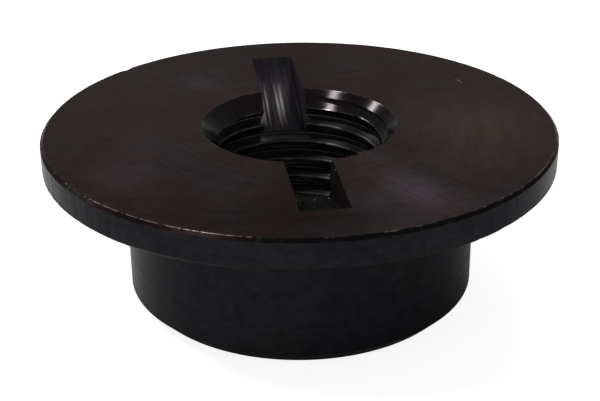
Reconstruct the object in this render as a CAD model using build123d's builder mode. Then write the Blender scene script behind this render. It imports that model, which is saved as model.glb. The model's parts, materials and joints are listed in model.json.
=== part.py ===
"""Flange nut with a slot across its top face.

A thin round flange and a plain round hub are turned in one piece, bored for a through thread,
countersunk at both mouths and slotted across the flange by a round cutter.

Millimetres. The origin is the centre of the hub's end face. +Z runs along the thread's axis, up
to the flange's top face, and the slot runs along Y.
"""

from build123d import *
import os

# Turned body
flange_diameter = 50.0
flange_thickness = 3.0
hub_diameter = 34.5
hub_length = 14.1

# Thread: nominal size and pitch, right hand
thread_diameter = 18.0
thread_pitch = 2.0

# Countersink at each mouth of the bore
countersink_diameter = 19.1
countersink_angle = 90.0

# Slot across the top face
slot_width = 4.45
slot_length = 39.3
slot_depth = 5.1
slot_offset = -0.45

# Edges
rim_edge_break = 0.3
hub_end_chamfer = 1.25
root_fillet = 0.4

# A metric internal thread's crests stand 5/8 of the basic triangle's height in from the nominal size
triangle_height = thread_pitch * 3**0.5 / 2
bore_diameter = thread_diameter - 2 * 5 / 8 * triangle_height

nut_height = hub_length + flange_thickness

# The cutter that leaves a slot of this length and depth in the top face
cutter_radius = (slot_length**2 / 4 + slot_depth**2) / (2 * slot_depth)
cutter_height = nut_height - slot_depth + cutter_radius


with BuildPart() as flange_nut:

    # Hub and flange, turned about the thread's axis
    with BuildSketch(Plane.XZ):
        with BuildLine():
            Polyline(
                (0, 0),
                (hub_diameter / 2, 0),
                (hub_diameter / 2, hub_length),
                (flange_diameter / 2, hub_length),
                (flange_diameter / 2, nut_height),
                (0, nut_height),
                close=True,
            )
        make_face()
    revolve(axis=Axis.Z)

    # The circles of the turned body, from the hub's end face up to the flange's top face
    circles = flange_nut.edges().filter_by(GeomType.CIRCLE)
    hub_end_edge = circles.group_by(Axis.Z)[0]
    root_edge = circles.group_by(Axis.Z)[1].sort_by(SortBy.RADIUS)[0]
    rim_edges = circles.group_by(SortBy.RADIUS)[-1]
    chamfer(hub_end_edge, length=hub_end_chamfer)
    chamfer(rim_edges, length=rim_edge_break)
    fillet(root_edge, radius=root_fillet)

    # Through bore, countersunk from both faces
    with Locations(Plane.XY.offset(nut_height), Plane.YX):
        CounterSinkHole(
            radius=bore_diameter / 2,
            counter_sink_radius=countersink_diameter / 2,
            counter_sink_angle=countersink_angle,
        )

    # Slot with the cutter's round floor, deepest where it crosses the bore
    with BuildSketch(Plane.YZ.offset(slot_offset)):
        with Locations((0, cutter_height)):
            Circle(cutter_radius)
    extrude(amount=slot_width / 2, both=True, mode=Mode.SUBTRACT)

flange_nut.part.label = "flange_nut"

os.makedirs("parts", exist_ok=True)
export_step(flange_nut.part, "parts/flange_nut.step")
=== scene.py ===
"""Visual model of a slotted flange nut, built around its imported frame.

One turned steel nut is made from a lathe profile, then threaded and slotted, and finished in black
oxide over its machining marks. The stage is a plain pale floor under soft light.
"""

import json
import math

import bmesh
import bpy
from bpy.props import FloatProperty, FloatVectorProperty, IntProperty, PointerProperty
from mathutils import Matrix, Vector


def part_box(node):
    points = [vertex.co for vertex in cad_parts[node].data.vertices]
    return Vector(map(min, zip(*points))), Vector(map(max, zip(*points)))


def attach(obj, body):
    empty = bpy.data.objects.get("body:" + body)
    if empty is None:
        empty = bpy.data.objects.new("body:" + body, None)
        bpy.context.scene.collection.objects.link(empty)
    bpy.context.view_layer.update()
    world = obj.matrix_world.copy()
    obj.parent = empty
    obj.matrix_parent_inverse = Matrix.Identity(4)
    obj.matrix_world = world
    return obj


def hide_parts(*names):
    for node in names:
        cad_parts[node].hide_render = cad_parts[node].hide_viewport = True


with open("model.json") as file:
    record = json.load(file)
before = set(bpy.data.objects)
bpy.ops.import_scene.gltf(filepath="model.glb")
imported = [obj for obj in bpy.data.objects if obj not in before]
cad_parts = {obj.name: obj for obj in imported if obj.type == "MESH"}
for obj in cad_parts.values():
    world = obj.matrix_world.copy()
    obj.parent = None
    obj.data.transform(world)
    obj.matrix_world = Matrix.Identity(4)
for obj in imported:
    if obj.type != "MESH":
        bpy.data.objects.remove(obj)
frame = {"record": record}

bl_info = {
    "name": "Slotted flange nut",
    "version": (1, 0, 0),
    "blender": (4, 5, 0),
    "location": "3D View > Sidebar > Flange nut",
    "description": "Makes a slotted flange nut in black oxide steel, with its helical thread",
    "category": "Object",
}

NODE = "flange_nut"
BODY = "root"
MM = 0.001

# Where the burrs stand on the slot's and the thread's edges, in millimetres
BURRS = (
    (-2.70, 9.05, 16.85),
    (1.78, -11.45, 16.98),
    (-1.30, -9.62, 13.12),
    (-1.58, -9.55, 13.20),
    (0.10, -9.66, 13.15),
    (1.55, -9.15, 13.02),
    (1.70, -8.35, 15.10),
)

# Patches of painted sheen and painted shade on the top face: x, y, turn, half length and half width in mm
# and degrees, then the colour and its strength
PAINTED_SHEEN_AND_SHADE = (
    (17.0, -5.0, 80, 12.0, 8.5, "stain", 0.55),
    (-3.0, -20.5, 0, 13.0, 5.0, "oily", 0.8),
    (7.9, -17.0, -66, 5.8, 3.1, "smudge", 0.8),
    (3.2, -18.9, -20, 4.5, 2.4, "smudge", 0.25),
    (-8.6, 12.2, 125, 4.5, 2.2, "smudge", 0.45),
    (-15.5, -2.0, 80, 6.0, 3.0, "smudge", 0.3),
    (-17.0, -10.0, 120, 7.0, 4.0, "smudge", 0.4),
)

# Scratches on the top face: x, y, turn, half length and half width in mm and degrees, then the strength
SCRATCHES = (
    (18.3, 8.95, -68.6, 0.8, 0.09, 0.22),
    (7.2, -15.6, -58, 1.3, 0.07, 0.015),
    (8.3, -17.4, -72, 1.6, 0.07, 0.02),
    (9.0, -18.6, -50, 1.0, 0.07, 0.02),
    (6.6, -17.2, -40, 0.9, 0.07, 0.015),
)

# The deepest scores in the slot's floor, rubbed bright and lit as a painted highlight: place across the slot
# and half width in mm, then the brightness
SCORE_GLINTS = (
    (-1.80, 0.24, 0.26),
    (-1.25, 0.17, 0.28),
    (-0.60, 0.14, 0.05),
    (-0.12, 0.24, 0.20),
    (0.34, 0.22, 0.26),
    (0.85, 0.14, 0.03),
    (1.95, 0.14, 0.10),
)

# Lamps: name, direction from the nut, width in millimetres and power in watts
LAMPS = (
    ("lamp_behind_right", (0.36, 0.51, 0.80), 80, 0.34),
    ("lamp_above_left", (-0.49, -0.14, 0.86), 50, 1.1),
    ("lamp_behind_left", (-0.65, 0.50, 0.57), 50, 0.8),
)

# Resolution of the cut body, the tap's turns past each end, and the angle from which an edge is sharp
TAP_COLUMNS = 217
TAP_ROWS_A_TURN = 24
SPARE_TURNS = 2
CUTTER_SIDES = 720
SHARP_ANGLE = math.radians(26)

# Lengths in the body's form
NICK_SPACING = 1.1 * MM
KNOCK_RADIUS = 0.9 * MM
KNOCK_DEPTH = 0.3 * MM
ROOT_ROUNDING = 0.08 * MM
CREST_ROUNDING = 0.3 * MM
CREST_CLEARANCE = 0.01 * MM
HAIR = 0.001 * MM
MARGIN = 0.02 * MM

# Lengths in the finish's patterns
CLOUD = 7 * MM
MOTTLE = 1.2 * MM
RING = 0.4 * MM
WEAR_RUN = 6 * MM
WEAR_DOT = 0.5 * MM
CHATTER = 1.5 * MM
SCORE = 0.25 * MM
BAND = 1.4 * MM
BURR_GRAIN = 0.12 * MM
BURR_TEAR = 0.2 * MM

# How deep the rings, the chatter and the scores look
RING_DEPTH = 0.002 * MM
CHATTER_DEPTH = 0.003 * MM
SCORE_DEPTH = 0.01 * MM

# Specular tints: the share of a full reflection that is left of each surface at a grazing angle
FACED_TINT = (0.57, 0.54, 0.53, 1)
TURNED_TINT = (0.64, 0.64, 0.64, 1)
TAPPED_TINT = (0.6, 0.6, 0.6, 1)
MILLED_TINT = (0.55, 0.55, 0.55, 1)

# The stage's levels, and the floor's half width and depth below the nut
WORLD_LEVEL = 0.7
FLOOR_GREY = (0.8, 0.8, 0.8, 1)
FLOOR_SHADE = (0.25, 0.25, 0.25, 1)
FLOOR_GLOW = 0.87
FLOOR_HALF = 1.0
FLOOR_GAP = 0.02 * MM

# Kinds of node that come up often
MATH = "ShaderNodeMath"
VECTOR = "ShaderNodeVectorMath"
MIX = "ShaderNodeMix"
RANGE = "ShaderNodeMapRange"
NOISE = "ShaderNodeTexNoise"
SET_MATERIAL = "GeometryNodeSetMaterial"

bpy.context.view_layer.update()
node_low, node_high = (Vector(corner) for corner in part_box(NODE))
mounts = {mount["name"]: mount for mount in frame["record"]["mounts"]}

NUT_HEIGHT = node_high.z
FLANGE_RADIUS = max(*node_high.xy, *-node_low.xy)
HUB_RADIUS = mounts["hub"]["dims"]["r_mm"] * MM
BORE_RADIUS = mounts["thread"]["dims"]["r_mm"] * MM
UNDERSIDE = mounts["flange_underside"]["pos_m"][2]


def length(name, description, default):
    """A property for a size in metres, shown in the scene's length unit."""
    return FloatProperty(
        name=name,
        description=description,
        default=default,
        min=0,
        unit="LENGTH",
        subtype="DISTANCE",
        precision=5,
    )


def angular(name, description, degrees):
    """A property for an angle, whose default is given in degrees."""
    return FloatProperty(
        name=name, description=description, default=math.radians(degrees), subtype="ANGLE"
    )


def linear(colour):
    """The linear colour, with alpha, of an sRGB hex colour such as #2B2626."""
    channels = (int(colour[i : i + 2], 16) / 255 for i in (1, 3, 5))
    return (*(c / 12.92 if c <= 0.04045 else ((c + 0.055) / 1.055) ** 2.4 for c in channels), 1)


def tint(name, description, default):
    """A property for a colour, whose default is an sRGB hex value."""
    return FloatVectorProperty(
        name=name, description=description, default=linear(default), size=4, min=0, max=1, subtype="COLOR"
    )


class NutSizes(bpy.types.PropertyGroup):
    """Sizes of the nut. The frame gives the ones that its fixed outline sets."""

    flange_radius: length("Flange radius", "Half the flange's diameter", FLANGE_RADIUS)
    nut_height: length("Height", "From the hub's end face to the flange's top face", NUT_HEIGHT)
    underside: length("Underside", "Height of the flange's underside", UNDERSIDE)
    hub_radius: length("Hub radius", "Half the hub's diameter", HUB_RADIUS)
    bore_radius: length("Bore radius", "From the axis to the thread's crests", BORE_RADIUS)
    thread_radius: length("Thread radius", "From the axis to the thread's roots", 8.95 * MM)
    thread_pitch: length("Pitch", "Rise of the thread in one turn", 2 * MM)
    thread_start: angular(
        "Thread start", "Where the thread's root passes the hub's end face, counter-clockwise from +X", -6
    )
    countersink_radius: length("Countersink radius", "Radius of each mouth's 45 degree cone", 9.55 * MM)
    slot_width: length("Slot width", "Width of the cutter that made the slot", 4.45 * MM)
    slot_length: length("Slot length", "Length of the slot in the top face", 39.3 * MM)
    slot_depth: length("Slot depth", "Depth of the slot where it crosses the axis", 5.1 * MM)
    slot_offset: length("Slot offset", "From the axis to the slot's centre line, towards -X", 0.45 * MM)
    rim_edge_break: length("Rim edge break", "Leg of the chamfer on the flange's two edges", 0.3 * MM)
    nick_depth: length("Nick depth", "Deepest that small knocks go into the rim's edges", 0.05 * MM)
    nick_angle: angular("Nick angle", "Where the rim's larger knock is, counter-clockwise from +X", 132)
    hub_end_chamfer: length("Hub chamfer", "Leg of the chamfer on the hub's end", 1.25 * MM)
    root_fillet: length("Root fillet", "Radius between hub and flange", 0.4 * MM)
    burr_size: length("Burr size", "Across a burr on the slot's edges", 0.22 * MM)
    segments: IntProperty(name="Segments", description="Facets round the turned body", default=720, min=24)


class NutFinish(bpy.types.PropertyGroup):
    """Colours of the finish."""

    top: tint("Faced top", "Brownish oxide on the flange's top face", "#1D1716")
    top_haze: tint("Top haze", "Violet-grey haze that drifts over the top face", "#1D1C1E")
    side: tint("Turned sides", "Oxide on the rim, the hub and the undersides", "#1B1B1D")
    side_haze: tint("Side haze", "Cooler haze on the sides", "#19191D")
    # Painted sheen: violet patches where the lamp's sheen runs across the top face
    smudge: tint("Top smudges", "Violet bloom where the top face was wiped", "#2E2A31")
    # Painted sheen: a lighter brown patch on the right of the top face
    stain: tint("Top stain", "Brown oil stain on one side of the top face", "#3B3431")
    # Painted shade: a darker patch along the front of the top face
    oily: tint("Top oil", "Darker oil along the front of the top face", "#100D0E")
    # Painted shade: the rim's upper chamfer is coloured darker than the oxide beside it, and its reddish
    # stain is dark for the same reason
    rim_break: tint("Rim edge breaks", "Oxide on the rim's narrow chamfers", "#0D0C0D")
    rim_stain: tint("Rim stain", "Reddish stain in places on the rim's chamfers", "#100A0B")
    countersink: tint("Countersinks", "Oxide on the two cones", "#131112")
    tapped: tint("Tapped bore", "Oxide on the thread", "#1B191A")
    grime: tint("Grime", "Dried oil and dust in the thread's roots", "#353230")
    milled: tint("Milled slot", "Blue-grey oxide in the slot", "#17171A")
    # Painted light: the +Y walls are rougher, and also coloured lighter as painted light
    milled_wall: tint("Slot walls", "Duller oxide on the slot's walls, on the axis's +Y side", "#28242A")
    # The slot's floor on the axis's -Y side is coloured greyer and made less metallic
    near_floor: tint("Dusty slot floor", "Grey dust on the slot's floor, on the axis's -Y side", "#28282A")
    # Painted shade: the -Y walls are redder, and coloured darker as painted shade
    near_wall: tint(
        "Reddish slot walls", "Redder oxide on the slot's walls, on the axis's -Y side", "#130D0E"
    )
    milled_haze: tint("Slot haze", "Plum streaks in the slot's oxide", "#1C171C")
    bare: tint("Bare steel", "Where the oxide has rubbed off", "#B4AEA6")


def add(tree, kind, inputs=(), operation=None, **settings):
    """Adds a node. Its inputs come in order or by name, each as a value, a socket or a node."""
    node = tree.nodes.new(kind)
    if operation:
        node.operation = operation
    for name, value in settings.items():
        setattr(node, name, value)
    for key, value in inputs.items() if isinstance(inputs, dict) else enumerate(inputs):
        socket = node.inputs[key] if isinstance(key, int) else next(
            s for s in node.inputs if s.name == key and s.enabled
        )
        if isinstance(value, bpy.types.Node):
            value = next(s for s in value.outputs if s.enabled)
        if isinstance(value, bpy.types.NodeSocket):
            tree.links.new(value, socket)
        else:
            socket.default_value = value
    return node


def lathe(name, profile, segments):
    """A closed mesh object turned about Z from a closed profile of (radius, height) points."""
    mesh = bmesh.new()
    rings = []
    for i in range(segments):
        angle = 2 * math.pi * i / segments
        rings.append([mesh.verts.new((r * math.cos(angle), r * math.sin(angle), z)) for r, z in profile])
    for ring, following in zip(rings, rings[1:] + rings[:1]):
        for j in range(len(profile)):
            mesh.faces.new((ring[j - 1], following[j - 1], following[j], ring[j]))
    bmesh.ops.recalc_face_normals(mesh, faces=mesh.faces)
    data = bpy.data.meshes.new(name)
    mesh.to_mesh(data)
    mesh.free()
    made = bpy.data.objects.new(name, data)
    bpy.context.scene.collection.objects.link(made)
    return made


def arc(centre, radius, start, end, steps):
    """Points of an arc in the profile's plane, angles in degrees."""
    angles = (math.radians(start + (end - start) * i / steps) for i in range(steps + 1))
    return [(centre[0] + radius * math.cos(a), centre[1] + radius * math.sin(a)) for a in angles]


def turned_profile(sizes):
    """The nut's section on one side of its axis, anticlockwise from the bore's lower mouth."""
    sink = sizes.countersink_radius - sizes.bore_radius
    rim = sizes.rim_edge_break
    fillet = sizes.root_fillet
    return [
        (sizes.bore_radius, sink),
        (sizes.countersink_radius, 0),
        (sizes.hub_radius - sizes.hub_end_chamfer, 0),
        (sizes.hub_radius, sizes.hub_end_chamfer),
        *arc((sizes.hub_radius + fillet, sizes.underside - fillet), fillet, 180, 90, 4),
        (sizes.flange_radius - rim, sizes.underside),
        (sizes.flange_radius, sizes.underside + rim),
        (sizes.flange_radius, sizes.nut_height - rim),
        (sizes.flange_radius - rim, sizes.nut_height),
        (sizes.countersink_radius, sizes.nut_height),
        (sizes.bore_radius, sizes.nut_height - sink),
    ]


def round_axis(tree, angle, radius, height):
    """The point at an angle round Z, a distance from Z and a height."""
    flat = [
        add(tree, MATH, [add(tree, MATH, [angle], part), radius], "MULTIPLY")
        for part in ("COSINE", "SINE")
    ]
    return add(tree, "ShaderNodeCombineXYZ", [*flat, height])


def cutting_tree(sizes, turned, faced, tapped, milled):
    """Node tree that nicks the rim, taps the helical thread and mills the round-floored slot."""
    tree = bpy.data.node_groups.new("tapping_and_slotting", "GeometryNodeTree")
    names = (
        "flange_radius", "nut_height", "underside", "rim_edge_break", "nick_depth", "nick_angle",
        "bore_radius", "countersink_radius", "thread_radius", "thread_pitch", "thread_start",
        "slot_width", "slot_length", "slot_depth", "slot_offset",
    )
    values = {name.replace("_", " ").capitalize(): getattr(sizes, name) for name in names}
    tree.interface.new_socket("Blank", in_out="INPUT", socket_type="NodeSocketGeometry")
    for name in values:
        tree.interface.new_socket(name, in_out="INPUT", socket_type="NodeSocketFloat")
    tree.interface.new_socket("Nut", in_out="OUTPUT", socket_type="NodeSocketGeometry")
    given = tree.nodes.new("NodeGroupInput").outputs
    place = add(tree, "GeometryNodeInputPosition")
    axes = add(tree, "ShaderNodeSeparateXYZ", [place]).outputs

    # Nicks: knocks push the rim's edges inwards by a few hundredths, and one knock is deeper.
    outwards = add(tree, VECTOR, [place, (1, 1, 0)], "MULTIPLY")
    radius = add(tree, VECTOR, [outwards], "LENGTH")
    rim_start = add(tree, MATH, [given["Rim edge break"], -1.5, given["Flange radius"]], "MULTIPLY_ADD")
    on_rim = add(tree, MATH, [radius, rim_start], "GREATER_THAN")
    grain = add(
        tree,
        NOISE,
        {"Vector": place, "Scale": 1 / NICK_SPACING, "Roughness": 0.7},
        noise_dimensions="3D",
    ).outputs[0]
    knocks = add(
        tree,
        RANGE,
        {"Value": grain, "From Min": 0.5, "From Max": 0.75, "To Max": given["Nick depth"]},
    )
    knock_at = round_axis(tree, given["Nick angle"], given["Flange radius"], given["Nut height"])
    knock_reach = add(tree, VECTOR, [place, knock_at], "DISTANCE")
    knock = add(
        tree,
        RANGE,
        {"Value": knock_reach, "From Max": KNOCK_RADIUS, "To Min": KNOCK_DEPTH, "To Max": 0.0},
    )
    push = add(tree, MATH, [add(tree, MATH, [knocks, knock], "MAXIMUM"), -1.0], "MULTIPLY")
    direction = add(tree, VECTOR, [outwards], "NORMALIZE")
    shift = add(tree, VECTOR, {0: direction, 3: push}, "SCALE")
    blank = add(
        tree,
        "GeometryNodeSetPosition",
        {"Geometry": given["Blank"], "Selection": on_rim, "Offset": shift},
    )

    # Tap: a closed rod whose radius follows the thread. It is a grid, rolled round the axis so that its
    # rows rise one pitch a turn to the right, and its two ends are drawn together beyond the nut.
    pitch = given["Thread pitch"]
    nut_turns = add(tree, MATH, [given["Nut height"], pitch], "DIVIDE")
    turns = add(tree, MATH, [add(tree, MATH, [nut_turns], "CEIL"), 2 * SPARE_TURNS], "ADD")
    sheet = add(
        tree,
        "GeometryNodeMeshGrid",
        {
            "Size X": 1.0,
            "Size Y": 1.0,
            "Vertices X": TAP_COLUMNS,
            "Vertices Y": add(tree, MATH, [turns, TAP_ROWS_A_TURN, 1.0], "MULTIPLY_ADD"),
        },
    )
    around = add(tree, MATH, [axes["X"], 0.5], "ADD")
    row = add(tree, MATH, [add(tree, MATH, [axes["Y"], 0.5], "ADD"), turns], "MULTIPLY")
    from_root = add(tree, MATH, [add(tree, MATH, [row, 0.5], "PINGPONG"), pitch], "MULTIPLY")
    flank_top = add(tree, MATH, [pitch, math.sqrt(3) / 32, given["Thread radius"]], "MULTIPLY_ADD")
    flank = add(tree, MATH, [from_root, -math.sqrt(3), flank_top], "MULTIPLY_ADD")
    rooted = add(tree, MATH, [flank, given["Thread radius"], ROOT_ROUNDING], "SMOOTH_MIN")
    crest = add(tree, MATH, [given["Bore radius"], CREST_CLEARANCE], "ADD")
    thread = add(tree, MATH, [rooted, crest, CREST_ROUNDING], "SMOOTH_MAX")
    turned_up = add(tree, MATH, [add(tree, MATH, [row, around], "ADD"), SPARE_TURNS], "SUBTRACT")
    rise = add(tree, MATH, [turned_up, pitch], "MULTIPLY")
    lowest = add(tree, MATH, [pitch, -0.5], "MULTIPLY")
    highest = add(tree, MATH, [pitch, 0.5, given["Nut height"]], "MULTIPLY_ADD")
    height = add(tree, MATH, [add(tree, MATH, [rise, lowest], "MAXIMUM"), highest], "MINIMUM")
    whole = add(tree, MATH, [rise, height, 0.1 * HAIR], "COMPARE")
    reach = add(tree, MATH, [thread, whole], "MULTIPLY")
    angle = add(tree, MATH, [around, 2 * math.pi, given["Thread start"]], "MULTIPLY_ADD")
    rolled = round_axis(tree, angle, reach, height)
    rod = add(tree, "GeometryNodeSetPosition", {"Geometry": sheet.outputs["Mesh"], "Position": rolled})
    tap = add(tree, "GeometryNodeMergeByDistance", {"Geometry": rod, "Distance": HAIR})

    # Slot cutter: a disc as wide as the slot, whose edge passes through the slot's two ends and its depth
    half_length = add(tree, MATH, [given["Slot length"], 0.5], "MULTIPLY")
    squares = add(
        tree,
        MATH,
        [half_length, half_length, add(tree, MATH, [given["Slot depth"], 2.0], "POWER")],
        "MULTIPLY_ADD",
    )
    cutter_radius = add(
        tree, MATH, [squares, add(tree, MATH, [given["Slot depth"], 2.0], "MULTIPLY")], "DIVIDE"
    )
    floor_height = add(tree, MATH, [given["Nut height"], given["Slot depth"]], "SUBTRACT")
    centre_height = add(tree, MATH, [floor_height, cutter_radius], "ADD")
    disc = add(
        tree,
        "GeometryNodeMeshCylinder",
        {"Vertices": CUTTER_SIDES, "Side Segments": 1, "Radius": cutter_radius, "Depth": given["Slot width"]},
        fill_type="NGON",
    )
    disc_place = add(
        tree,
        "ShaderNodeCombineXYZ",
        {"X": add(tree, MATH, [given["Slot offset"], -1.0], "MULTIPLY"), "Z": centre_height},
    )
    slot_cutter = add(
        tree,
        "GeometryNodeTransform",
        {"Geometry": disc, "Translation": disc_place, "Rotation": (0.0, math.radians(90), 0.0)},
    )

    # The tap's faces are marked, so that their border with the rest can be found after the cuts.
    parts = []
    for part, value in ((blank, 0.0), (tap, 1.0), (slot_cutter, 0.0)):
        part = add(
            tree,
            "GeometryNodeStoreNamedAttribute",
            {"Geometry": part, "Name": "tapped", "Value": value},
            data_type="FLOAT",
            domain="FACE",
        )
        parts.append(add(tree, SET_MATERIAL, {"Geometry": part, "Material": turned}))
    cut = parts[0]
    for cutter in parts[1:]:
        cut = add(
            tree,
            "GeometryNodeMeshBoolean",
            {"Mesh 1": cut, "Mesh 2": cutter},
            "DIFFERENCE",
            solver="EXACT",
        ).outputs["Mesh"]

    # Faces that the slot cutter left stand within the disc, and below the top face.
    across = add(tree, MATH, [add(tree, MATH, [axes["X"], given["Slot offset"]], "ADD")], "ABSOLUTE")
    half_width = add(tree, MATH, [given["Slot width"], 0.5, HAIR], "MULTIPLY_ADD")
    in_width = add(tree, MATH, [across, half_width], "LESS_THAN")
    from_centre = add(
        tree,
        VECTOR,
        [
            add(tree, VECTOR, [place, (0, 1, 1)], "MULTIPLY"),
            add(tree, "ShaderNodeCombineXYZ", {"Z": centre_height}),
        ],
        "DISTANCE",
    )
    disc_edge = add(tree, MATH, [cutter_radius, MARGIN], "ADD")
    in_disc = add(tree, MATH, [from_centre, disc_edge], "LESS_THAN")
    below_top = add(
        tree,
        MATH,
        [axes["Z"], add(tree, MATH, [given["Nut height"], HAIR], "SUBTRACT")],
        "LESS_THAN",
    )
    milled_faces = add(tree, MATH, [add(tree, MATH, [in_width, in_disc], "MULTIPLY"), below_top], "MULTIPLY")
    bore_faces = add(tree, MATH, [radius, given["Countersink radius"]], "LESS_THAN")

    # The facing tool made the top face and the rim's two edge breaks.
    thickness = add(tree, MATH, [given["Nut height"], given["Underside"]], "SUBTRACT")
    half_flange = add(tree, MATH, [thickness, 0.5], "MULTIPLY")
    middle = add(tree, MATH, [given["Nut height"], half_flange], "SUBTRACT")
    from_middle = add(tree, MATH, [add(tree, MATH, [axes["Z"], middle], "SUBTRACT")], "ABSOLUTE")
    inside_rim = add(tree, MATH, [given["Flange radius"], given["Rim edge break"]], "SUBTRACT")
    on_break = add(
        tree,
        MATH,
        [
            add(tree, MATH, [radius, from_middle], "ADD"),
            add(tree, MATH, [inside_rim, half_flange], "ADD"),
            MARGIN,
        ],
        "COMPARE",
    )
    faced_faces = add(tree, MATH, [add(tree, MATH, [1.0, below_top], "SUBTRACT"), on_break], "MAXIMUM")

    # Sharp edges: every steep one, and the thread's border, where a flank meets a countersink at a low
    # angle. There an edge lies between a marked face and one that isn't, so its own value is about a half.
    steep = add(
        tree,
        MATH,
        [add(tree, "GeometryNodeInputMeshEdgeAngle").outputs["Unsigned Angle"], SHARP_ANGLE],
        "GREATER_THAN",
    )
    marked = add(tree, "GeometryNodeInputNamedAttribute", {"Name": "tapped"}, data_type="FLOAT")
    at_border = add(tree, MATH, [marked.outputs["Attribute"], 0.5, 0.4], "COMPARE")
    sharp = add(tree, MATH, [steep, at_border], "MAXIMUM")
    finished = add(tree, "GeometryNodeSetShadeSmooth", {"Geometry": cut, "Shade Smooth": True}, domain="FACE")
    finished = add(
        tree,
        "GeometryNodeSetShadeSmooth",
        {"Geometry": finished, "Selection": sharp, "Shade Smooth": False},
        domain="EDGE",
    )
    finished = add(tree, "GeometryNodeRemoveAttribute", {"Geometry": finished, "Name": "tapped"})
    finished = add(tree, "GeometryNodeRealizeInstances", [finished])
    for faces, material in ((faced_faces, faced), (bore_faces, tapped), (milled_faces, milled)):
        finished = add(tree, SET_MATERIAL, {"Geometry": finished, "Selection": faces, "Material": material})
    add(tree, "NodeGroupOutput", {"Nut": finished})
    return tree, values


def applied(made, tree, values):
    """The object with the tree's result as its plain mesh."""
    modifier = made.modifiers.new(tree.name, "NODES")
    modifier.node_group = tree
    for item in tree.interface.items_tree:
        if item.item_type == "SOCKET" and item.in_out == "INPUT" and item.name in values:
            modifier[item.identifier] = values[item.name]
    graph = bpy.context.evaluated_depsgraph_get()
    mesh = bpy.data.meshes.new_from_object(
        made.evaluated_get(graph), preserve_all_data_layers=True, depsgraph=graph
    )
    made.modifiers.remove(modifier)
    for i in reversed(range(len(mesh.materials))):
        if mesh.materials[i] is None:
            mesh.materials.pop(index=i)
    made.data = mesh
    return made


def empty_material(name):
    """A node material with nothing in its tree."""
    material = bpy.data.materials.new(name)
    material.use_nodes = True
    material.node_tree.nodes.clear()
    return material


def turned_places(tree):
    """The object's coordinates, with the height, the distance from Z and the point that these two make."""
    place = add(tree, "ShaderNodeTexCoord").outputs["Object"]
    height = add(tree, "ShaderNodeSeparateXYZ", [place]).outputs["Z"]
    flat = add(tree, VECTOR, [place, (1, 1, 0)], "MULTIPLY")
    radius = add(tree, VECTOR, [flat], "LENGTH")
    return place, height, radius, add(tree, "ShaderNodeCombineXYZ", [radius, height])


def rubbed_and_glinting_corners(tree, profile, corners):
    """How far the corners are rubbed, as wear and as painted highlight, from 0 to 1. Each is given as
    (radius, height, width, strength).
    """
    most = 0.0
    for radius, height, width, strength in corners:
        away = add(tree, VECTOR, [profile, (radius, height, 0)], "DISTANCE")
        near = add(
            tree,
            RANGE,
            {"Value": away, "From Min": width, "From Max": 0.3 * width, "To Max": strength},
        )
        most = add(tree, MATH, [near, most], "MAXIMUM")
    return most


def patch(tree, place, spot, edge):
    """A long round patch on the top face, 1 in its middle, and its own coordinates. In mm and degrees."""
    x, y, turn, half_length, half_width = spot
    local = add(
        tree,
        "ShaderNodeMapping",
        [
            add(tree, VECTOR, [place, (1, 1, 0)], "MULTIPLY"),
            (x * MM, y * MM, 0),
            (0, 0, math.radians(turn)),
            (half_length * MM, half_width * MM, 1),
        ],
        vector_type="TEXTURE",
    )
    away = add(tree, VECTOR, [local], "LENGTH")
    return add(tree, RANGE, {"Value": away, "From Min": 1.0, "From Max": edge}), local


def scratched_and_painted_top(tree, place, finish, colour):
    """The colour with the top face's patches of painted sheen and painted shade, and short scratches, over
    it.
    """
    # Patches of painted sheen and painted shade, broken up by streaky noise
    for *spot, tone, strength in PAINTED_SHEEN_AND_SHADE:
        inside, local = patch(tree, place, spot, 0.25)
        patch_streaks = add(
            tree,
            NOISE,
            {
                "Vector": add(tree, VECTOR, [local, (0.5, 3, 1)], "MULTIPLY"),
                "Scale": 2.0,
                "Detail": 4.0,
                "Roughness": 0.7,
                "Distortion": 0.4,
            },
        ).outputs[0]
        streak_strength = add(
            tree,
            RANGE,
            {
                "Value": patch_streaks,
                "From Min": 0.36,
                "From Max": 0.6,
                "To Min": 0.45 * strength,
                "To Max": strength,
            },
        )
        amount = add(tree, MATH, [inside, streak_strength], "MULTIPLY")
        tone = getattr(finish, tone)
        colour = add(tree, MIX, {"Factor": amount, "A": colour, "B": tone}, data_type="RGBA")
    for *spot, strength in SCRATCHES:
        inside, _ = patch(tree, place, spot, 0.4)
        amount = add(tree, MATH, [inside, strength], "MULTIPLY")
        colour = add(tree, MIX, {"Factor": amount, "A": colour, "B": finish.bare}, data_type="RGBA")
    return colour


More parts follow.
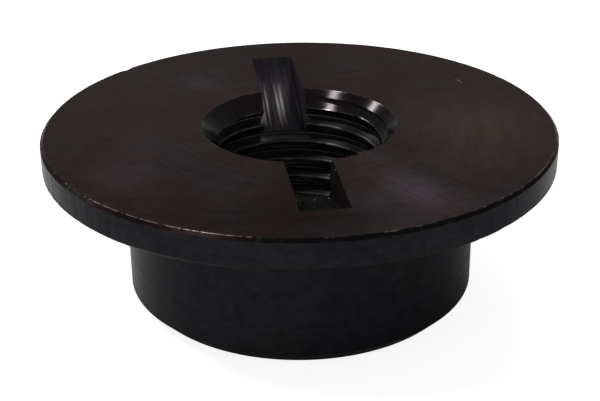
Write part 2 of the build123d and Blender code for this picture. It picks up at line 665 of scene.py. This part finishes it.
def turned_oxide(name, finish, sizes, oxide, haze, edge_tint, marks=None):
    """Black oxide on turned steel, in the two colours that drift over it, with any marks over both."""
    material = empty_material(name)
    tree = material.node_tree
    place, height, radius, profile = turned_places(tree)
    half_flange = (sizes.nut_height - sizes.underside) / 2
    middle = sizes.nut_height - half_flange
    from_middle = add(tree, MATH, [add(tree, MATH, [height, middle], "SUBTRACT")], "ABSOLUTE")
    outward = add(tree, MATH, [radius, from_middle], "ADD")

    # The tool fed 0.1 mm a turn. Its rings are drawn 0.4 mm apart, because finer ones don't show.
    rings = add(
        tree,
        NOISE,
        {"W": outward, "Scale": 1 / RING, "Detail": 3.0, "Roughness": 0.7},
        noise_dimensions="1D",
    ).outputs[0]
    clouds = add(
        tree, NOISE, {"Vector": place, "Scale": 1 / CLOUD, "Detail": 5.0, "Roughness": 0.6}
    ).outputs[0]
    hazy = add(tree, RANGE, {"Value": clouds, "From Min": 0.4, "From Max": 0.64})
    colour = add(tree, MIX, {"Factor": hazy, "A": oxide, "B": haze}, data_type="RGBA")
    ring_tone = add(
        tree,
        RANGE,
        {"Value": rings, "From Min": 0.3, "From Max": 0.7, "To Min": 0.88, "To Max": 1.14},
    )
    colour = add(tree, VECTOR, {0: colour, 3: ring_tone}, "SCALE")
    mottle = add(
        tree, NOISE, {"Vector": place, "Scale": 1 / MOTTLE, "Detail": 4.0, "Roughness": 0.7}
    ).outputs[0]
    mottle_tone = add(
        tree,
        RANGE,
        {"Value": mottle, "From Min": 0.35, "From Max": 0.65, "To Min": 0.8, "To Max": 1.2},
    )
    colour = add(tree, VECTOR, {0: colour, 3: mottle_tone}, "SCALE")
    if marks:
        colour = marks(tree, place, finish, colour)
    runs = add(tree, NOISE, {"Vector": place, "Scale": 1 / WEAR_RUN}).outputs[0]

    # Painted shade: the rim's upper edge break is coloured darker than the faces beside it, and redder in
    # places.
    rim_corner = sizes.flange_radius + half_flange - sizes.rim_edge_break
    on_break = add(
        tree,
        RANGE,
        {"Value": outward, "From Min": rim_corner - 2.5 * MARGIN, "From Max": rim_corner - MARGIN},
    )
    on_flange = add(tree, MATH, [radius, sizes.flange_radius - 2 * sizes.rim_edge_break], "GREATER_THAN")
    on_break = add(tree, MATH, [on_break, on_flange], "MULTIPLY")
    stained = add(tree, RANGE, {"Value": runs, "From Min": 0.45, "From Max": 0.55})
    broken = add(
        tree, MIX, {"Factor": stained, "A": finish.rim_break, "B": finish.rim_stain}, data_type="RGBA"
    )
    upper = add(tree, MATH, [height, middle], "GREATER_THAN")
    broken = add(tree, MIX, {"Factor": upper, "A": finish.side, "B": broken}, data_type="RGBA")
    colour = add(tree, MIX, {"Factor": on_break, "A": colour, "B": broken}, data_type="RGBA")

    # Rubbed edges: dots some 0.5 mm apart, in runs of about 6 mm, of bare metal that is partly wear and
    # partly the edges' painted highlight
    corner_wear_and_glint = rubbed_and_glinting_corners(
        tree,
        profile,
        (
            (sizes.flange_radius - sizes.rim_edge_break, sizes.nut_height, 0.075 * MM, 0.25),
            (sizes.flange_radius, sizes.underside + sizes.rim_edge_break, 0.06 * MM, 0.04),
            (sizes.flange_radius - sizes.rim_edge_break, sizes.underside, 0.06 * MM, 0.03),
            (sizes.hub_radius, sizes.hub_end_chamfer, 0.06 * MM, 0.05),
            (sizes.hub_radius - sizes.hub_end_chamfer, 0, 0.08 * MM, 0.1),
            (sizes.countersink_radius, sizes.nut_height, 0.07 * MM, 0.15),
            (sizes.countersink_radius, 0, 0.08 * MM, 0.4),
        ),
    )
    dots = add(tree, NOISE, {"Vector": place, "Scale": 1 / WEAR_DOT, "Roughness": 0.7}).outputs[0]
    dotted = add(
        tree,
        RANGE,
        {"Value": add(tree, MATH, [dots, runs], "ADD"), "From Min": 0.95, "From Max": 1.3},
    )
    rubbed = add(tree, MATH, [corner_wear_and_glint, dotted], "MULTIPLY")
    colour = add(tree, MIX, {"Factor": rubbed, "A": colour, "B": finish.bare}, data_type="RGBA")

    roughness = add(
        tree,
        RANGE,
        {"Value": rings, "From Min": 0.3, "From Max": 0.7, "To Min": 0.36, "To Max": 0.44},
    )
    bump = add(tree, "ShaderNodeBump", {"Distance": RING_DEPTH, "Height": rings})
    shader = add(
        tree,
        "ShaderNodeBsdfPrincipled",
        {
            "Base Color": colour,
            "Metallic": 1.0,
            "Roughness": roughness,
            "Specular Tint": edge_tint,
            "Anisotropic": 0.7,
            "Anisotropic Rotation": 0.25,
            "Tangent": add(tree, VECTOR, [(0, 0, 1), place], "CROSS_PRODUCT"),
            "Normal": bump,
        },
    )
    add(tree, "ShaderNodeOutputMaterial", {"Surface": shader})
    return material


def tapped_oxide(finish, sizes):
    """Black oxide on tapped and countersunk steel, for the bore."""
    # The tap and the countersink rub as they cut, so the bore is glossier than the face. The eye gets small
    # sharp glints along the thread's crests and on the cones, with dull dried oil in the roots between them.
    # Some of these glints are bare metal coloured onto the crests and the cones' rims, partly wear and partly
    # painted highlight.
    material = empty_material("black_oxide_tapped_steel")
    tree = material.node_tree
    place, height, radius, profile = turned_places(tree)

    # Chatter from the tap runs round the bore, in marks 0.3 mm high and some 1.5 mm long.
    chatter = add(
        tree,
        NOISE,
        {
            "Vector": add(tree, VECTOR, [place, (1, 1, 5)], "MULTIPLY"),
            "Scale": 1 / CHATTER,
            "Detail": 3.0,
            "Roughness": 0.65,
        },
    ).outputs[0]
    tone = add(
        tree,
        RANGE,
        {"Value": chatter, "From Min": 0.3, "From Max": 0.7, "To Min": 0.85, "To Max": 1.15},
    )
    cone_foot = sizes.nut_height - sizes.countersink_radius + sizes.bore_radius
    below_cone = add(
        tree,
        RANGE,
        {"Value": height, "From Min": cone_foot - 0.1 * MM, "From Max": cone_foot - 0.4 * MM},
    )
    oxide = add(
        tree, MIX, {"Factor": below_cone, "A": finish.countersink, "B": finish.tapped}, data_type="RGBA"
    )
    oxide = add(tree, VECTOR, {0: oxide, 3: tone}, "SCALE")
    in_root = add(
        tree,
        RANGE,
        {"Value": radius, "From Min": sizes.bore_radius + 0.25 * MM, "From Max": sizes.thread_radius},
    )
    grimy = add(tree, MATH, [below_cone, in_root], "MULTIPLY")
    oxide = add(tree, MIX, {"Factor": grimy, "A": oxide, "B": finish.grime}, data_type="RGBA")
    metallic = add(tree, RANGE, {"Value": grimy, "To Min": 1.0, "To Max": 0.3})

    # Bare metal on the cones' rims and the thread's crests: partly wear, partly painted highlight
    corner_wear_and_glint = rubbed_and_glinting_corners(
        tree,
        profile,
        (
            (sizes.countersink_radius, sizes.nut_height, 0.08 * MM, 0.15),
            (sizes.countersink_radius, 0, 0.1 * MM, 0.4),
        ),
    )
    crest_wear_and_glint = add(
        tree,
        RANGE,
        {
            "Value": radius,
            "From Min": sizes.bore_radius + 0.14 * MM,
            "From Max": sizes.bore_radius + MARGIN,
            "To Max": 0.08,
        },
    )
    rubbed = add(
        tree,
        MATH,
        [
            add(tree, MATH, [corner_wear_and_glint, crest_wear_and_glint], "MAXIMUM"),
            add(tree, RANGE, {"Value": chatter, "From Min": 0.45, "From Max": 0.7}),
        ],
        "MULTIPLY",
    )
    colour = add(tree, MIX, {"Factor": rubbed, "A": oxide, "B": finish.bare}, data_type="RGBA")
    roughness = add(
        tree,
        RANGE,
        {"Value": chatter, "From Min": 0.3, "From Max": 0.7, "To Min": 0.15, "To Max": 0.22},
    )
    roughness = add(tree, MATH, [below_cone, 0.16, roughness], "MULTIPLY_ADD")
    bump = add(tree, "ShaderNodeBump", {"Distance": CHATTER_DEPTH, "Height": chatter})
    shader = add(
        tree,
        "ShaderNodeBsdfPrincipled",
        {
            "Base Color": colour,
            "Metallic": metallic,
            "Roughness": roughness,
            "Specular Tint": TAPPED_TINT,
            "Anisotropic": 0.5,
            "Anisotropic Rotation": 0.25,
            "Tangent": add(tree, VECTOR, [(0, 0, 1), place], "CROSS_PRODUCT"),
            "Normal": bump,
        },
    )
    add(tree, "ShaderNodeOutputMaterial", {"Surface": shader})
    return material


def milled_oxide(finish, sizes):
    """Black oxide on milled steel, for the slot."""
    # A worn cutter has scored the slot's floor from end to end, and the deepest scores are coloured bright
    # beside the bore, partly as wear and partly as the lamp's painted highlight. The eye gets fine pale lines
    # there, over a smooth blue-grey and plum oxide.
    material = empty_material("black_oxide_milled_steel")
    tree = material.node_tree
    place = add(tree, "ShaderNodeTexCoord").outputs["Object"]
    axes = add(tree, "ShaderNodeSeparateXYZ", [place]).outputs

    # Score marks 0.25 mm apart and about 12 mm long
    scores = add(
        tree,
        NOISE,
        {
            "Vector": add(tree, VECTOR, [place, (1, 0.02, 0.02)], "MULTIPLY"),
            "Scale": 1 / SCORE,
            "Detail": 3.0,
            "Roughness": 0.7,
        },
    ).outputs[0]
    bands = add(
        tree,
        NOISE,
        {"Vector": add(tree, VECTOR, [place, (1, 0.2, 0.2)], "MULTIPLY"), "Scale": 1 / BAND},
    ).outputs[0]
    banded = add(tree, RANGE, {"Value": bands, "From Min": 0.4, "From Max": 0.6})
    oxide = add(tree, MIX, {"Factor": banded, "A": finish.milled, "B": finish.milled_haze}, data_type="RGBA")
    tone = add(
        tree,
        RANGE,
        {"Value": scores, "From Min": 0.35, "From Max": 0.65, "To Min": 0.65, "To Max": 1.2},
    )
    oxide = add(tree, VECTOR, {0: oxide, 3: tone}, "SCALE")

    across = add(tree, MATH, [axes["X"], sizes.slot_offset], "ADD")
    on_wall = add(
        tree,
        MATH,
        [add(tree, MATH, [across], "ABSOLUTE"), sizes.slot_width / 2 - MARGIN],
        "GREATER_THAN",
    )
    past_axis = add(tree, MATH, [axes["Y"], 0.0], "GREATER_THAN")
    # The floor on the axis's -Y side is greyer and less metallic
    greyer_near_floor = add(
        tree,
        MATH,
        [add(tree, MATH, [1.0, past_axis], "SUBTRACT"), add(tree, MATH, [1.0, on_wall], "SUBTRACT")],
        "MULTIPLY",
    )
    oxide = add(tree, MIX, {"Factor": greyer_near_floor, "A": oxide, "B": finish.near_floor}, data_type="RGBA")
    # Walls: lighter on the +Y side as painted light, redder and darker on the -Y side as painted shade
    wall = add(
        tree,
        MIX,
        {"Factor": past_axis, "A": finish.near_wall, "B": finish.milled_wall},
        data_type="RGBA",
    )
    oxide = add(tree, MIX, {"Factor": on_wall, "A": oxide, "B": wall}, data_type="RGBA")

    # Rubbed scores, bright only across the band where the lamp's highlight falls on the floor and fading out
    # towards the bore and the slot's far end: partly wear, partly a painted highlight
    scored_glints = 0.0
    for middle, half_width, bright in SCORE_GLINTS:
        away = add(tree, MATH, [across, middle * MM, 0.0], "SUBTRACT")
        score = add(
            tree,
            RANGE,
            {
                "Value": add(tree, MATH, [away], "ABSOLUTE"),
                "From Min": half_width * MM,
                "From Max": 0.0,
                "To Max": bright,
            },
        )
        scored_glints = add(tree, MATH, [score, scored_glints], "MAXIMUM")
    glint_from_bore = add(tree, RANGE, {"Value": axes["Y"], "From Min": 9 * MM, "From Max": 11.5 * MM})
    glint_to_far_end = add(tree, RANGE, {"Value": axes["Y"], "From Min": 16.5 * MM, "From Max": 13 * MM})
    broken = add(tree, RANGE, {"Value": scores, "From Min": 0.3, "From Max": 0.55})
    rubbed = scored_glints
    for mask in (glint_from_bore, glint_to_far_end, broken):
        rubbed = add(tree, MATH, [rubbed, mask], "MULTIPLY")
    colour = add(tree, MIX, {"Factor": rubbed, "A": oxide, "B": finish.bare}, data_type="RGBA")

    roughness = add(
        tree,
        RANGE,
        {"Value": scores, "From Min": 0.35, "From Max": 0.65, "To Min": 0.22, "To Max": 0.32},
    )
    roughness = add(tree, MIX, {"Factor": on_wall, "A": roughness, "B": 0.6}, data_type="FLOAT")
    bump = add(tree, "ShaderNodeBump", {"Distance": SCORE_DEPTH, "Height": scores})
    shader = add(
        tree,
        "ShaderNodeBsdfPrincipled",
        {
            "Base Color": colour,
            "Metallic": add(tree, MIX, {"Factor": greyer_near_floor, "A": 1.0, "B": 0.82}, data_type="FLOAT"),
            "Roughness": roughness,
            "Specular Tint": MILLED_TINT,
            "Anisotropic": 0.8,
            "Anisotropic Rotation": 0.25,
            "Tangent": add(tree, "ShaderNodeCombineXYZ", {"Y": 1.0}),
            "Normal": bump,
        },
    )
    add(tree, "ShaderNodeOutputMaterial", {"Surface": shader})
    return material


def burr_steel(finish):
    """Bare steel, for the burrs that the tap and the cutter left."""
    # Freshly torn metal without oxide. The eye gets a few small pale sparks on dark edges.
    material = empty_material("bare_burr_steel")
    tree = material.node_tree
    place = add(tree, "ShaderNodeTexCoord").outputs["Object"]
    grain = add(tree, NOISE, {"Vector": place, "Scale": 1 / BURR_GRAIN}).outputs[0]
    tone = add(
        tree,
        RANGE,
        {"Value": grain, "From Min": 0.35, "From Max": 0.65, "To Min": 0.05, "To Max": 0.3},
    )
    shader = add(
        tree,
        "ShaderNodeBsdfPrincipled",
        {
            "Base Color": add(tree, VECTOR, {0: finish.bare[:3], 3: tone}, "SCALE"),
            "Metallic": 1.0,
            "Roughness": add(tree, RANGE, {"Value": grain, "To Min": 0.3, "To Max": 0.6}),
        },
    )
    add(tree, "ShaderNodeOutputMaterial", {"Surface": shader})
    return material


def burr_tree(size, material):
    """Node tree that puts a torn flake on each point."""
    tree = bpy.data.node_groups.new("torn_flakes", "GeometryNodeTree")
    values = {"Size": size}
    tree.interface.new_socket("Spots", in_out="INPUT", socket_type="NodeSocketGeometry")
    tree.interface.new_socket("Size", in_out="INPUT", socket_type="NodeSocketFloat")
    tree.interface.new_socket("Burrs", in_out="OUTPUT", socket_type="NodeSocketGeometry")
    given = tree.nodes.new("NodeGroupInput").outputs
    ball = add(tree, "GeometryNodeMeshIcoSphere", {"Radius": 0.5, "Subdivisions": 3}).outputs["Mesh"]
    flake = add(tree, SET_MATERIAL, {"Geometry": ball, "Material": material})
    turn = add(
        tree,
        "FunctionNodeRandomValue",
        {"Min": (0, 0, 0), "Max": (1.2, 1.2, 6.28), "Seed": 4},
        data_type="FLOAT_VECTOR",
    )
    shape = add(
        tree,
        "FunctionNodeRandomValue",
        {"Min": (0.7, 0.5, 0.35), "Max": (1.3, 0.8, 0.5), "Seed": 7},
        data_type="FLOAT_VECTOR",
    )
    flakes = add(
        tree,
        "GeometryNodeInstanceOnPoints",
        {
            "Points": given["Spots"],
            "Instance": flake,
            "Rotation": turn,
            "Scale": add(tree, VECTOR, {0: shape, 3: given["Size"]}, "SCALE"),
        },
    )
    flakes = add(tree, "GeometryNodeRealizeInstances", [flakes])
    place = add(tree, "GeometryNodeInputPosition")
    rough = add(tree, NOISE, {"Vector": place, "Scale": 1 / BURR_TEAR, "Detail": 1.0}).outputs["Color"]
    centred = add(tree, VECTOR, [rough, (0.5, 0.5, 0.5)], "SUBTRACT")
    torn = add(tree, VECTOR, {0: centred, 3: add(tree, MATH, [given["Size"], 0.5], "MULTIPLY")}, "SCALE")
    flakes = add(tree, "GeometryNodeSetPosition", {"Geometry": flakes, "Offset": torn})
    flakes = add(tree, SET_MATERIAL, {"Geometry": flakes, "Material": material})
    add(tree, "NodeGroupOutput", {"Burrs": flakes})
    return tree, values


class OBJECT_OT_nut_burrs(bpy.types.Operator):
    """Makes the burrs, the small torn flakes on the slot's and the thread's edges"""

    bl_idname = "object.nut_burrs"
    bl_label = "Make the burrs"

    def execute(self, context):
        sizes = context.scene.nut_sizes
        spots = bpy.data.meshes.new("thread_burrs")
        spots.from_pydata([tuple(c * MM for c in spot) for spot in BURRS], [], [])
        burrs = bpy.data.objects.new("thread_burrs", spots)
        context.scene.collection.objects.link(burrs)
        applied(burrs, *burr_tree(sizes.burr_size, burr_steel(context.scene.nut_finish)))
        if not burrs.data.polygons:
            raise RuntimeError("the burrs have no mesh")
        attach(burrs, BODY)
        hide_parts(NODE)
        return {"FINISHED"}


class OBJECT_OT_flange_nut(bpy.types.Operator):
    """Makes the nut: turned, threaded and slotted"""

    bl_idname = "object.flange_nut"
    bl_label = "Make the nut"

    def execute(self, context):
        sizes = context.scene.nut_sizes
        finish = context.scene.nut_finish
        nut = lathe("nut_body", turned_profile(sizes), sizes.segments)
        # Faced steel under black oxide and oil. The eye gets a satin, brownish near-black. The tool's rings
        # spread a lamp's reflection into a soft sheen that runs across the face on both sides of the bore.
        # Violet and brown patches of painted sheen lie over the face, and a painted shade darkens its front.
        faced = turned_oxide(
            "black_oxide_faced_steel", finish, sizes, finish.top, finish.top_haze, FACED_TINT, scratched_and_painted_top
        )
        # Turned steel under black oxide, on the rim, the hub and the undersides. The eye gets a cooler black
        # that brightens towards the outline, and grey dots of bare metal where handling rubs the edges, which
        # also serve as the edges' painted highlight. The rim's upper edge break is coloured darker, as
        # painted shade.
        turned = turned_oxide(
            "black_oxide_turned_steel", finish, sizes, finish.side, finish.side_haze, TURNED_TINT
        )
        tree, values = cutting_tree(
            sizes, turned, faced, tapped_oxide(finish, sizes), milled_oxide(finish, sizes)
        )
        applied(nut, tree, values)
        if not nut.data.polygons:
            raise RuntimeError("cutting the thread and slot left no mesh")
        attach(nut, BODY)
        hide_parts(NODE)
        return {"FINISHED"}


class StageSettings(bpy.types.PropertyGroup):
    """The camera's place, fitted to the photograph's outlines, and how far off the lamps are."""

    camera_distance: length("Camera distance", "From the top face's centre", 123.9 * MM)
    camera_elevation: angular("Elevation", "Camera above the top face", 21.97)
    camera_azimuth: angular("Azimuth", "Camera round the axis from -Y", -7.61)
    camera_dip: angular("Dip", "Aim below the top face's centre", 3.52)
    camera_roll: angular("Roll", "Camera about its own axis", 0.59)
    field_of_view: angular("Field of view", "Across the picture", 26.68)
    lamp_distance: length("Lamp distance", "From the top face's centre to each lamp", 400 * MM)


class SCENE_OT_flange_nut_stage(bpy.types.Operator):
    """Makes the floor, lamps, world and camera"""

    bl_idname = "scene.flange_nut_stage"
    bl_label = "Make the stage"

    def execute(self, context):
        scene = context.scene
        stage = scene.nut_stage
        scene.view_settings.view_transform = "Standard"

        # Camera
        azimuth, elevation = stage.camera_azimuth, stage.camera_elevation
        back = Vector(
            (
                math.sin(azimuth) * math.cos(elevation),
                -math.cos(azimuth) * math.cos(elevation),
                math.sin(elevation),
            )
        )
        right = Vector((math.cos(azimuth), math.sin(azimuth), 0))
        dip = Matrix.Rotation(-stage.camera_dip, 3, right)
        back_dipped = dip @ back
        up = back_dipped.cross(right)
        roll = Matrix.Rotation(-stage.camera_roll, 3, back_dipped)
        axes = Matrix((roll @ right, roll @ up, back_dipped)).transposed()
        camera_data = bpy.data.cameras.new("camera")
        camera_data.sensor_fit = "HORIZONTAL"
        camera_data.angle = stage.field_of_view
        camera_data.clip_start = 5 * MM
        camera = bpy.data.objects.new("camera", camera_data)
        place = Vector((0, 0, NUT_HEIGHT)) + back * stage.camera_distance
        camera.matrix_world = Matrix.Translation(place) @ axes.to_4x4()
        scene.collection.objects.link(camera)
        scene.camera = camera

        # World: white where the camera or a reflection sees it, and a plain soft level for the rest
        world = bpy.data.worlds.new("studio")
        world.use_nodes = True
        tree = world.node_tree
        tree.nodes.clear()
        seen = add(tree, "ShaderNodeLightPath").outputs
        direct = add(tree, MATH, [seen["Is Camera Ray"], seen["Is Glossy Ray"]], "MAXIMUM")
        white = add(tree, MATH, [direct, seen["Is Transmission Ray"]], "MAXIMUM")
        strength = add(tree, MIX, {"Factor": white, "A": WORLD_LEVEL, "B": 1.0}, data_type="FLOAT")
        background = add(tree, "ShaderNodeBackground", {"Color": (1, 1, 1, 1), "Strength": strength})
        add(tree, "ShaderNodeOutputWorld", {"Surface": background})
        scene.world = world

        # Floor: a hair below the hub's end face, so that the two faces don't share a plane
        data = bpy.data.meshes.new("floor")
        signs = ((-1, -1), (1, -1), (1, 1), (-1, 1))
        corners = [(x * FLOOR_HALF, y * FLOOR_HALF, -FLOOR_GAP) for x, y in signs]
        data.from_pydata(corners, [], [(0, 1, 2, 3)])
        floor = bpy.data.objects.new("floor", data)
        scene.collection.objects.link(floor)
        material = empty_material("pale_floor")
        tree = material.node_tree
        seen = add(tree, "ShaderNodeLightPath").outputs
        plain = add(tree, "ShaderNodeBsdfDiffuse", {"Color": FLOOR_GREY})
        shadowed = add(tree, "ShaderNodeBsdfDiffuse", {"Color": FLOOR_SHADE})
        glow = add(tree, "ShaderNodeEmission", {"Color": (1, 1, 1, 1), "Strength": FLOOR_GLOW})
        white = add(tree, "ShaderNodeAddShader", [shadowed, glow])
        add(
            tree,
            "ShaderNodeOutputMaterial",
            {"Surface": add(tree, "ShaderNodeMixShader", [seen["Is Camera Ray"], plain, white])},
        )
        data.materials.append(material)

        # Lamps: discs that face the middle of the nut's top
        target = Vector((0, 0, NUT_HEIGHT))
        for name, direction, width, power in LAMPS:
            lamp_data = bpy.data.lights.new(name, "AREA")
            lamp_data.shape = "DISK"
            lamp_data.size = width * MM
            lamp_data.energy = power
            lamp = bpy.data.objects.new(name, lamp_data)
            towards = Vector(direction).normalized()
            lamp.location = target + towards * stage.lamp_distance
            lamp.rotation_euler = towards.to_track_quat("Z", "Y").to_euler()
            scene.collection.objects.link(lamp)
        return {"FINISHED"}


class VIEW3D_PT_flange_nut(bpy.types.Panel):
    """Sizes, finish and makers of the flange nut"""

    bl_label = "Flange nut"
    bl_space_type = "VIEW_3D"
    bl_region_type = "UI"
    bl_category = "Flange nut"

    def draw(self, context):
        scene = context.scene
        for title in ("Sizes", "Finish", "Stage"):
            group = getattr(scene, f"nut_{title.lower()}")
            box = self.layout.box()
            box.label(text=title)
            for name in group.__annotations__:
                box.prop(group, name)
        for operator in OPERATORS:
            self.layout.operator(operator.bl_idname)


OPERATORS = (OBJECT_OT_flange_nut, OBJECT_OT_nut_burrs, SCENE_OT_flange_nut_stage)
CLASSES = (NutSizes, NutFinish, StageSettings, *OPERATORS, VIEW3D_PT_flange_nut)


def register():
    for one in CLASSES:
        bpy.utils.register_class(one)
    bpy.types.Scene.nut_sizes = PointerProperty(type=NutSizes)
    bpy.types.Scene.nut_finish = PointerProperty(type=NutFinish)
    bpy.types.Scene.nut_stage = PointerProperty(type=StageSettings)


def unregister():
    del bpy.types.Scene.nut_stage
    del bpy.types.Scene.nut_finish
    del bpy.types.Scene.nut_sizes
    for one in reversed(CLASSES):
        bpy.utils.unregister_class(one)


def main():
    """Makes the stage and the nut."""
    register()
    bpy.ops.scene.flange_nut_stage()
    bpy.ops.object.flange_nut()
    bpy.ops.object.nut_burrs()


if __name__ == "__main__":
    main()
